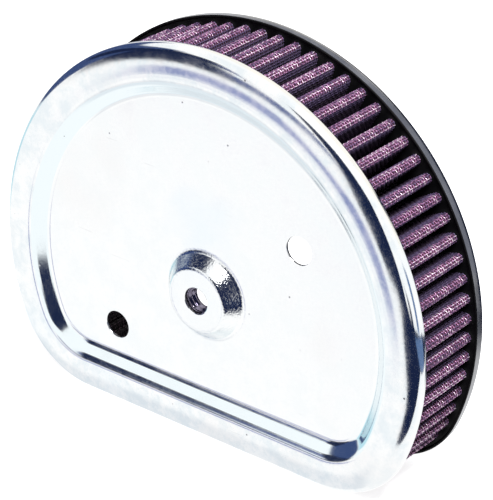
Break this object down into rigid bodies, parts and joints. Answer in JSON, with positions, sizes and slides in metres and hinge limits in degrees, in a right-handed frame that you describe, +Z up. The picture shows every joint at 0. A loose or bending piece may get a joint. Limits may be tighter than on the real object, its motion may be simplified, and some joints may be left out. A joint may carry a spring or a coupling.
{
  "type": "air filter",
  "caption": "D-shaped pleated motorcycle air filter: pressed steel front plate with a threaded centre boss, gauze pleats between wire screens, rear pan and seal.",
  "frame": {"origin": "middle of the flat side, on the surface it stands on, half way through the thickness", "axes": "+X across the D to the right seen from the front, +Y from the closed front plate to the open rear, +Z up from the flat side to the round top"},
  "size_m": [0.19, 0.0446, 0.153],
  "materials": {
    "plated_steel": "bright zinc-plated pressed steel with fine brushing and small specks",
    "insert_steel": "dull machined steel",
    "urethane_potting": "matte black cast urethane",
    "wire_screen": "coated woven wire, tinted by the oiled gauze behind it",
    "cotton_gauze": "oiled cotton gauze, magenta red",
    "crimp_steel": "bright folded strip",
    "pan_steel": "satin grey plated steel",
    "seal_rubber": "matte black moulded rubber"
  },
  "bodies": {
    "root": {"front_plate": "plated_steel", "boss_thread_insert": "insert_steel", "front_potting_ring": "urethane_potting", "outer_wire_screen": "wire_screen", "cotton_gauze_pleats": "cotton_gauze", "inner_wire_screen": "wire_screen", "seam_crimp_strip": "crimp_steel", "rear_potting_ring": "urethane_potting", "rear_end_pan": "pan_steel", "rear_sealing_gasket": "seal_rubber"}
  },
  "joints": []
}
